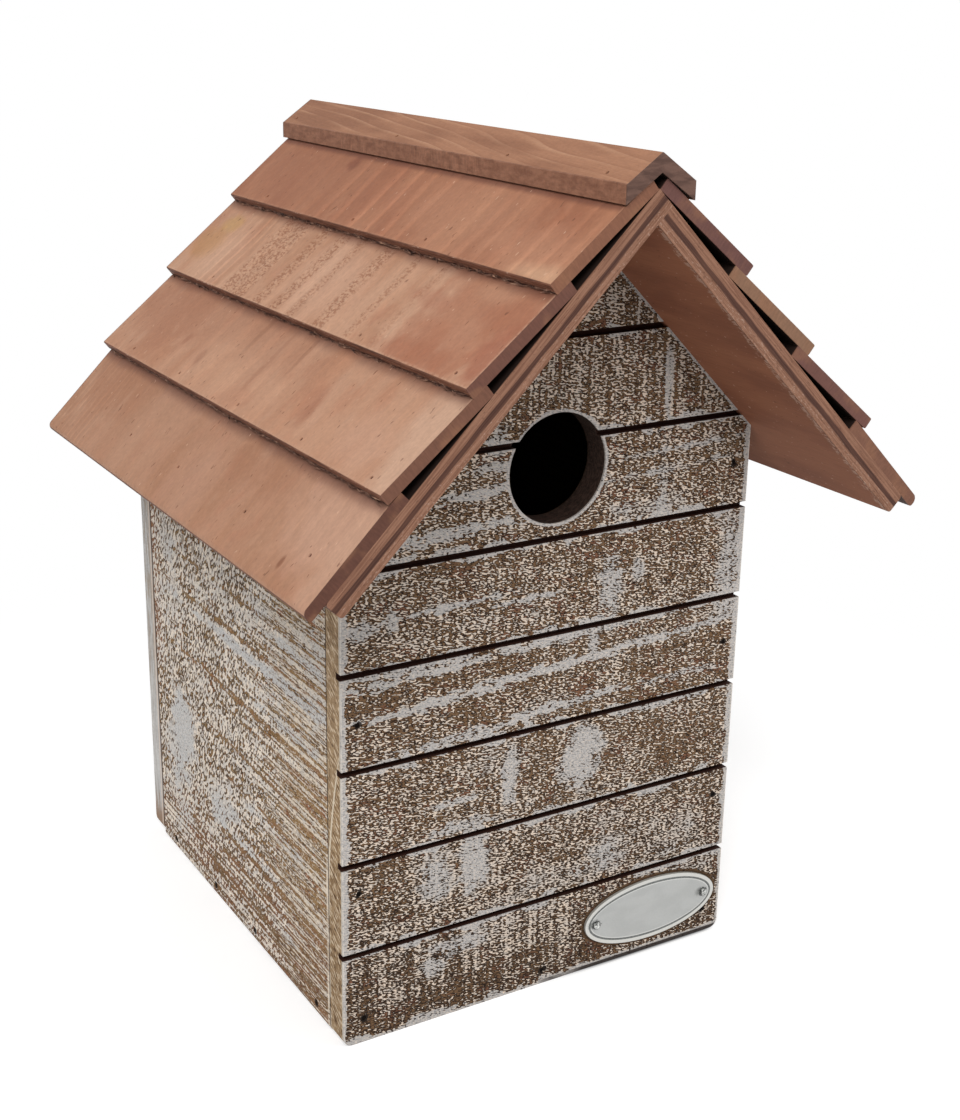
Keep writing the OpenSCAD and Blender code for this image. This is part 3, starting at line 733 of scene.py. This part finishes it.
def shingle_material(node, side, tilt, seed, look):
    """look: base, dark, red and pale tones; rings as (from, to, pitch, strength), from and to
    as shares of the width; torn rows as (middle, half width, strength) in millimetres; blots
    as (share across, share down, half sizes in millimetres, tone, weight); ends as the tones
    of a left board's ends and of a right board's; lapped for a board under another."""
    g = Paint("stained_" + node)
    board, (width, length, thick) = board_axes(g, node, side, tilt)
    across, along, depth = board
    bend = g.noise(board, (40, 50, 20), seed, 1, 0.5)
    bent = g.scaled(bend, 6, across)
    grain = (bent, along, depth)
    broad = g.noise(grain, (15, 70, 9), seed + 1, 2, 0.5)
    blotch = g.noise(grain, (10, 15, 9), seed + 2, 3, 0.55, 0.3)
    fibre = g.noise(grain, (0.5, 12, 0.6), seed + 4, 2, 0.6)
    grit = g.noise(board, (0.9, 1.2, 0.8), seed + 5, 2, 0.6)

    colour = g.mix(g.smooth(broad, 0.34, 0.64), look["dark"], look["base"])
    colour = g.mix(g.mul(g.smooth(blotch, 0.52, 0.70), 0.28), colour, look["pale"])
    colour = g.mix(g.mul(g.smooth(blotch, 0.47, 0.32), 0.40), colour, look["red"])
    ragged = g.swing(blotch, 2)
    flat = g.join(across, along, 0)
    for over, down, half_over, half_down, tone, weight in look["blots"]:
        middle = (over * width, down * length)
        spot = g.spot(flat, middle, (half_over, half_down), ragged, 0.55)
        colour = g.mix(g.mul(spot, weight), colour, tone)
    relief = g.mul(fibre, 0.3)
    colour, relief = growth_rings(g, look["rings"], across, width, grain, seed, colour, relief)
    if "torn" in look:
        colour, relief = torn_rows(g, look["torn"], board, bent, seed, colour, relief)
    # painted shade where the course above laps over, and beside the ridge cap
    cap_half = box_mm("ridge_cap")[1][0]
    shade = g.smooth(g.absolute(g.x), cap_half + 1.6, cap_half)
    if look["lapped"]:
        reach = g.span(broad, 0.3, 0.7, LAP + 3.2, LAP + 5.4)
        shade = g.top(shade, g.smooth(along, reach, LAP + 0.4))
    colour = g.mix(g.mul(shade, 0.66), colour, (96, 56, 47))
    # dark dashes and pale specks everywhere
    scratch = g.noise(board, (0.9, 3, 3), seed + 8, 1, 0.5)
    colour = g.mix(g.mul(g.smooth(scratch, 0.715, 0.77), 0.65), colour, (106, 66, 48))
    colour = g.mix(g.mul(g.smooth(scratch, 0.245, 0.20), 0.6), colour, (214, 176, 150))
    colour = g.vary(colour, fibre, 0.935, 1.035)
    colour = g.vary(colour, grit, 0.925, 1.035)
    mottle = g.noise(grain, (2.2, 3.4, 3), seed + 13, 2, 0.6, 0.4)
    colour = g.vary(colour, mottle, 0.955, 1.045)
    # pale arrises along the lower edge and the front end: wear, and a painted highlight
    worn = g.top(g.smooth(along, length - 1.3, length - 0.3), g.smooth(across, 1.4, 0.3))
    colour = g.mix(g.mul(worn, g.smooth(grit, 0.3, 0.6), 0.5), colour, look["pale"])
    low_edge, rough_edge = torn_lower_edge(g, board, thick, seed)
    low_face = g.smooth(along, length - 0.40, length - 0.20)
    colour = g.mix(low_face, colour, low_edge)
    ends = g.top(g.smooth(across, 0.40, 0.20), g.smooth(across, width - 0.40, width - 0.20))
    colour = g.mix(ends, colour, sawn_end(g, board, look["ends"][side > 0], seed))
    # the underside and upper end as painted shade, darkest where the next board covers it
    hidden_face_shade = g.top(g.smooth(depth, thick - 0.45, thick - 0.15), g.smooth(along, 0.45, 0.2))
    under = g.mul(hidden_face_shade, g.smooth(along, length - 4, length - 6))
    colour = g.mix(g.mul(hidden_face_shade, g.inv(ends)), colour, (70, 48, 40))
    colour = g.mix(g.mul(under, g.inv(ends)), colour, HIDDEN_WOOD_SHADE)
    height = g.add(relief, g.mul(grit, 0.25), g.mul(low_face, rough_edge, 1.2))
    return g.finish(colour, g.span(fibre, 0.3, 0.7, 0.56, 0.68), height, 0.17, 0.6, specular=0.20)


def ply_material(side):
    node = ("left" if side < 0 else "right") + "_roof_panel"
    g = Paint("plywood_" + node)
    board, (width, length, thick) = board_axes(g, node, side, 0)
    across, along, depth = board
    # soffit face, with the grain from front to back
    broad = g.noise(board, (46, 13, 9), 61 + side, 2, 0.5, 0.3)
    fine = g.noise(board, (7, 0.7, 0.6), 63 + side, 2, 0.6)
    face = g.mix(g.smooth(broad, 0.34, 0.66), (124, 78, 58), (140, 91, 67))
    face = g.vary(face, fine, 0.93, 1.08)
    speck = g.noise(board, (1.6, 0.8, 1), 64 + side, 1, 0.5)
    face = g.mix(g.mul(g.smooth(speck, 0.72, 0.78), 0.6), face, (190, 152, 130))
    face = g.mix(g.mul(g.smooth(speck, 0.28, 0.22), 0.6), face, (78, 48, 36))
    fray = g.noise(board, (1, 3.2, 1), 66 + side, 2, 0.65)
    reach = g.span(fray, 0.35, 0.7, 0.5, 4.4)
    worn = g.mul(g.smooth(across, reach, g.mul(reach, 0.5)), g.smooth(speck, 0.36, 0.56))
    face = g.mix(g.mul(worn, 0.8), face, (176, 144, 126))
    # cut edges show three plies
    plies = (along, depth, across)
    wave = g.noise(plies, (16, 3, 9), 68 + side, 2, 0.5)
    level = g.div(g.add(depth, g.swing(wave, 1.1)), thick)
    dusty = g.noise(plies, (1.1, 0.5, 1), 71 + side, 2, 0.65)
    strand = g.noise(plies, (14, 0.4, 1), 72 + side, 2, 0.6)
    streak = g.smooth(strand, 0.35, 0.65)
    outer = g.mix(streak, (114, 78, 61), (140, 102, 82))
    inner = g.mix(streak, (116, 80, 62), (142, 104, 84))
    inner = g.mix(g.mul(g.smooth(dusty, 0.56, 0.70), 0.6), inner, (164, 136, 120))
    core = g.mix(streak, (66, 41, 33), (84, 55, 44))
    edge = g.mix(g.smooth(level, 0.36, 0.43), outer, core)
    edge = g.mix(g.smooth(level, 0.60, 0.67), edge, inner)
    edge = g.mix(g.mul(g.smooth(dusty, 0.40, 0.30), 0.5), edge, (78, 52, 42))
    cut = g.top(g.smooth(across, 0.45, 0.2), g.smooth(across, width - 0.45, width - 0.2),
                g.smooth(along, length - 0.45, length - 0.2))
    colour = g.mix(cut, face, edge)
    # the top face under the shingles, dark as painted shade
    top_face = g.mul(g.smooth(depth, 0.45, 0.15), g.inv(cut))
    colour = g.mix(top_face, colour, HIDDEN_WOOD_SHADE)
    height = g.add(g.mul(fine, 0.3), g.mul(cut, g.add(strand, dusty)), g.mul(fray, 0.15))
    return g.finish(colour, 0.7, height, 0.2, 0.65, specular=0.18)


CAP_PITCH = 35
CAP_SKIN = 4.3


def cap_material():
    g = Paint("stained_ridge_cap")
    lo, hi = box_mm("ridge_cap")
    x, y, z = g.x, g.y, g.z
    ax = g.absolute(x)
    above, beside = (y, x, z), (y, z, x)
    flow = g.noise(above, (110, 16, 16), 81, 1, 0.5)
    bent = g.scaled(flow, 12, g.scaled(y, 0.11, ax))
    turn = g.math("FRACT", g.div(bent, 3.9))
    fade = g.noise(above, (30, 5, 12), 83, 1, 0.5)
    line = g.mul(g.smooth(turn, 0.34, 0.05), g.smooth(turn, 0, 0.05),
                 g.span(fade, 0.36, 0.62, 0.15, 1))
    broad = g.noise(above, (40, 7, 12), 85, 2, 0.5)
    fibre = g.noise((y, bent, z), (8, 0.5, 0.6), 87, 2, 0.6)
    grit = g.noise(above, (1.4, 0.8, 0.8), 88, 2, 0.6)
    colour = g.mix(g.smooth(broad, 0.36, 0.64), (142, 98, 74), (162, 116, 89))
    colour = g.mix(g.mul(line, 0.55), colour, (188, 144, 114))
    colour = g.mix(g.mul(g.smooth(turn, 0.7, 1), 0.3), colour, (138, 94, 70))
    # rough sawn flanks, and end grain
    flank = g.smooth(ax, hi[0] - 0.45, hi[0] - 0.2)
    saw = g.noise(beside, (0.6, 3.5, 2), 89, 2, 0.6, 0.2)
    sawn_here = g.smooth(g.noise(beside, (26, 9, 9), 90, 1, 0.5), 0.44, 0.56)
    fuzz = g.noise(beside, (3.4, 1.6, 2), 91, 3, 0.65)
    sawn = g.mix(g.smooth(fuzz, 0.30, 0.70), (120, 80, 61), (144, 101, 79))
    sawn = g.dim(sawn, g.add(1, g.swing(saw, sawn_here, 0.9)))
    colour = g.mix(flank, colour, sawn)
    colour = g.vary(colour, fibre, 0.94, 1.06)
    colour = g.vary(colour, grit, 0.93, 1.06)
    end_noise = g.noise((x, z, y), (7, 1.4, 1), 93, 2, 0.5, 0.4)
    end_colour = g.mix(g.smooth(end_noise, 0.36, 0.64), (80, 58, 50), (102, 76, 66))
    ends = g.top(g.smooth(y, lo[1] + 0.45, lo[1] + 0.2), g.smooth(y, hi[1] - 0.45, hi[1] - 0.2))
    colour = g.mix(ends, colour, end_colour)
    slope = math.tan(math.radians(CAP_PITCH))
    # the underside, dark as painted shade
    over_top = g.sub(z, g.sub(hi[2], g.mul(ax, slope)))
    under = g.mul(g.smooth(over_top, -CAP_SKIN, -CAP_SKIN - 0.3), g.inv(flank), g.inv(ends))
    colour = g.mix(under, colour, HIDDEN_WOOD_SHADE)
    height = g.add(g.mul(fibre, 0.4), g.mul(line, 0.4), g.mul(grit, 0.4), g.mul(flank, saw, 1))
    return g.finish(colour, 0.64, height, 0.22, 0.65, specular=0.18)


# ---- plate and nails

def plate_material():
    g = Paint("painted_plate")
    inset = g.sub(0, plate_ring(g))
    face = (g.x, g.z, g.y)
    grime = g.noise(face, (9, 5, 5), 101, 2, 0.5)
    grit = g.noise(face, (0.6, 0.6, 0.6), 103, 2, 0.6)
    colour = g.mix(g.smooth(grime, 0.36, 0.64), (166, 167, 165), (172, 173, 171))
    # the pale rim, then the groove: its dark line is painted shade and the thin pale line inside it a
    # painted highlight
    colour = g.mix(g.band(inset, 2.1, 0.08, 0.22), colour, (200, 200, 197))
    colour = g.mix(g.smooth(inset, 1.35, 1.15), colour, (200, 199, 194))
    line = g.band(inset, 1.62, 0.28, 0.14)
    shade = g.mix(g.smooth(grit, 0.4, 0.6), (82, 85, 83), (106, 108, 105))
    colour = g.mix(line, colour, shade)
    # a dark ring and a smear of dirt round each nail
    flat = g.join(g.x, g.z, 0)
    ragged = g.swing(grit, 1.2)
    for node in ("plate_nail_left", "plate_nail_right"):
        nail = nail_middles(node)[0]
        smear = g.spot(flat, (nail.x - 1.1, nail.z + 0.4), (1.8, 1.3), ragged, 0.5)
        colour = g.mix(g.mul(smear, 0.75), colour, (84, 86, 82))
        ring = g.spot(flat, (nail.x, nail.z), (1.6, 1.6), ragged, 0.2)
        colour = g.mix(g.mul(ring, 0.92), colour, (38, 40, 38))
    colour = g.vary(colour, grit, 0.975, 1.025)
    colour = g.mix(g.smooth(inset, 0.16, 0.04), colour, (140, 138, 132))
    height = g.add(g.mul(line, -0.6), g.mul(grit, 0.15))
    return g.finish(colour, g.span(grime, 0.3, 0.7, 0.40, 0.48), height, 0.08, 0.5)


def nail_material(name, low, high, metallic, rough):
    g = Paint(name)
    # rust on the iron nails; on the plate nails the same noise paints glints and dark reflections
    rust_and_glints = g.noise((g.x, g.y, g.z), (0.7, 0.7, 0.7), 111, 2, 0.65)
    colour = g.mix(g.smooth(rust_and_glints, 0.35, 0.65), low, high)
    return g.finish(colour, g.span(rust_and_glints, 0.3, 0.7, rough, rough + 0.25), rust_and_glints, 0.05, 0.5,
                    metallic=metallic, specular=0.5 if metallic else 0.1)


# ---- dressing the part's own nodes

def dress(node, material, bevel_mm=0, segments=2):
    """Gives a node its material and, unless bevel_mm is nought, rounded arrises."""
    ob = NODES[node]
    ob.data.materials.clear()
    ob.data.materials.append(material)
    for p in ob.data.polygons:
        p.material_index = 0
    if bevel_mm:
        weld = ob.modifiers.new("weld", "WELD")
        weld.merge_threshold = 0.000002
        flat = ob.modifiers.new("flat", "DECIMATE")
        flat.decimate_type = "DISSOLVE"
        flat.angle_limit = math.radians(0.5)
        bev = ob.modifiers.new("bevel", "BEVEL")
        bev.width = bevel_mm / MM
        bev.segments = segments
        bev.limit_method = "ANGLE"
        bev.angle_limit = math.radians(35)
        bev.use_clamp_overlap = True
        even = ob.modifiers.new("even", "WEIGHTED_NORMAL")
        even.mode = "FACE_AREA"
        even.weight = 100


dress("front_panel", front_material(), 0.2)
dress("back_panel", back_material(), 0.6, 3)
side_wood = side_material()
dress("left_side_panel", side_wood, 0.15)
dress("right_side_panel", side_wood, 0.15)
dress("floor_panel", floor_board_material(), 0.3)
dress("left_roof_panel", ply_material(-1), 0.3)
dress("right_roof_panel", ply_material(1), 0.3)

for side, word in ((-1, "left"), (1, "right")):
    for k in (1, 2, 3, 4):
        node = "%s_shingle_%d" % (word, k)
        seed = 120 + 7.3 * k + side
        dress(node, shingle_material(node, side, TILT[k], seed, LOOKS[k]), 0.25)
dress("ridge_cap", cap_material(), 0.5, 3)
dress("name_plate", plate_material(), 0.25)

iron = nail_material("dark_nail", (9, 6, 5), (22, 16, 13), 0, 0.85)
rusty = nail_material("rusty_nail", (70, 40, 30), (104, 62, 48), 0.1, 0.6)
# the plate nails' light and dark patches are painted highlight and reflection
bright = nail_material("plate_nail", (34, 36, 34), (220, 222, 218), 0.6, 0.25)
for name in NODES:
    if name.endswith("_nails"):
        roof = "shingle" in name or "cap" in name
        dress(name, rusty if roof else iron)
dress("plate_nail_left", bright)
dress("plate_nail_right", bright)


# ---- torn fibres

def place_object(name, data):
    ob = bpy.data.objects.new(name, data)
    bpy.context.scene.collection.objects.link(ob)
    return ob


def mesh_object(name, points, faces, material):
    mesh = bpy.data.meshes.new(name)
    mesh.from_pydata(points, [], faces)
    mesh.materials.append(material)
    return place_object(name, mesh)


def fibre_material():
    g = Paint("torn_fibres")
    tone = g.noise((g.x, g.y, g.z), (1, 3, 1), 131, 2, 0.6)
    colour = g.mix(g.smooth(tone, 0.34, 0.50), (52, 34, 29), (112, 80, 66))
    colour = g.mix(g.smooth(tone, 0.56, 0.66), colour, (164, 126, 104))
    return g.finish(colour, 0.75, tone, 0.1, 0.5, specular=0.2)


FIBRES_PER_BOARD = 170


def torn_fibres(word, side, material):
    """Splinters that lie along the rough lower edges of one slope's shingles."""
    rng = random.Random(40 + side)
    points, faces = [], []
    for k in (2, 3, 4):
        node = "%s_shingle_%d" % (word, k)
        down, out = slope_axes(side, TILT[k])
        edge = extent(node, down)[1]
        under, outer = extent(node, out)
        front_y, rear_y = extent(node, Vector((0, 1, 0)))
        for _ in range(FIBRES_PER_BOARD):
            length = rng.uniform(1.5, 8)
            start = rng.uniform(front_y + 1, rear_y - length - 1)
            level = under + (outer - under) * rng.uniform(0.02, 0.5) ** 1.5
            foot = down * (edge - 0.15) + out * level + Vector((0, start, 0))
            thick = rng.uniform(0.12, 0.32)
            slip = out * rng.uniform(-0.15, 0.3)
            curl = down * rng.uniform(0, 1) ** 2 * 1.3
            middle = foot + Vector((0, length * rng.uniform(0.35, 0.65), 0)) + curl * 0.4
            tip = foot + Vector((0, length, 0)) + slip + curl
            if rng.random() < 0.5:
                turned = Vector((0, 2 * start + length, 0))
                foot, middle, tip = [Vector((v.x, turned.y - v.y, v.z)) for v in (foot, middle, tip)]
            first = len(points)
            points += [foot, middle + out * thick, middle + down * thick * 1.4,
                       middle - out * thick, tip]
            for a, b in ((1, 2), (2, 3), (3, 1)):
                faces.append((first, first + a, first + b))
                faces.append((first + 4, first + b, first + a))
    piece = mesh_object(word + "_torn_fibres", [p / MM for p in points], faces, material)
    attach(piece, "root")


fibres = fibre_material()
torn_fibres("left", -1, fibres)
torn_fibres("right", 1, fibres)


# ---- floor, light, camera

FLOOR_HALF = 12
LIT_POINT = (0, 0, 0.12)
CAMERA_AT = (-0.249884, -0.442825, 0.294169)
CAMERA_YAW, CAMERA_PITCH, CAMERA_ROLL = 29.609, 18.233, 0.443
SENSOR_MM = 36
LENS_MM = 53.4915
FRAME_SHIFT = (0.0458125, -0.0315625)


def floor_material():
    """Pale, with the shadow kept near the object, a painted contact shadow along the box's foot, and
    plain white farther away.
    """
    g = Paint("studio_floor")
    out_x = g.top(g.sub(g.absolute(g.x), WALL_X), 0)
    out_y = g.top(g.sub(g.absolute(g.y), BACK_Y), 0)
    gap = g.hypot(out_x, out_y)
    sideways = g.mul(g.smooth(g.x, -4, 30), g.smooth(g.x, WALL_X - 0.5, WALL_X - 6))
    # a painted contact shadow along the box's foot, on its right half
    contact_shadow = g.mul(g.math("POWER", g.smooth(gap, 2.3, -0.5), 2), sideways)
    pale = g.dim((0.62, 0.62, 0.62), g.span(contact_shadow, 0, 0.9, 1, 0.12))
    shade = g.new("ShaderNodeBsdfDiffuse", Color=pale)
    glow = g.new("ShaderNodeEmission", WHITE, g.span(contact_shadow, 0, 0.9, 0.5, 0))
    near = g.new("ShaderNodeAddShader", shade.outputs[0], glow.outputs[0])
    white = g.new("ShaderNodeEmission", WHITE, 1)
    far = g.smooth(g.hypot(g.x, g.y), 150, 330)
    seen = g.new("ShaderNodeMixShader", far, near.outputs[0], white.outputs[0])
    lit = g.new("ShaderNodeBsdfDiffuse", Color=(0.8, 0.8, 0.8, 1))
    mix = g.new("ShaderNodeMixShader", g.background_rays(), lit.outputs[0], seen.outputs[0])
    g.new("ShaderNodeOutputMaterial", mix.outputs[0])
    return g.owner


def studio_world(strength):
    g = Graph(bpy.data.worlds.new("studio"))
    bpy.context.scene.world = g.owner
    sky = g.new("ShaderNodeBackground", WHITE, strength)
    white = g.new("ShaderNodeBackground", WHITE, 1)
    mix = g.new("ShaderNodeMixShader", g.background_rays(), sky.outputs[0], white.outputs[0])
    g.new("ShaderNodeOutputWorld", mix.outputs[0])


def lamp(name, at, size, power):
    data = bpy.data.lights.new(name, "AREA")
    data.shape = "DISK"
    data.size = size
    data.energy = power
    ob = place_object(name, data)
    ob.location = at
    ob.rotation_euler = (Vector(LIT_POINT) - Vector(at)).to_track_quat("-Z", "Y").to_euler()


def camera():
    yaw, pitch, roll = [math.radians(a) for a in (CAMERA_YAW, CAMERA_PITCH, CAMERA_ROLL)]
    level = math.cos(pitch)
    ahead = Vector((math.sin(yaw) * level, math.cos(yaw) * level, -math.sin(pitch)))
    flat = ahead.cross(Vector((0, 0, 1))).normalized()
    up = flat.cross(ahead)
    right = math.cos(roll) * flat + math.sin(roll) * up
    above = -math.sin(roll) * flat + math.cos(roll) * up
    data = bpy.data.cameras.new("camera")
    data.sensor_width = SENSOR_MM
    data.lens = LENS_MM
    data.shift_x, data.shift_y = FRAME_SHIFT
    data.clip_start = 0.01
    data.clip_end = 50
    ob = place_object("camera", data)
    turn = Matrix((right, above, -ahead)).transposed().to_4x4()
    ob.matrix_world = Matrix.Translation(CAMERA_AT) @ turn
    bpy.context.scene.camera = ob


corners = [(x * FLOOR_HALF, y * FLOOR_HALF, 0) for x, y in ((-1, -1), (1, -1), (1, 1), (-1, 1))]
floor = mesh_object("studio_floor", corners, [(0, 1, 2, 3)], floor_material())
studio_world(0.55)
lamp("key", (-0.9, -1.2, 1.5), 0.9, 25)
lamp("fill", (1.3, -1, 0.9), 1.2, 8)
camera()

view = bpy.context.scene.view_settings
view.view_transform = "Standard"
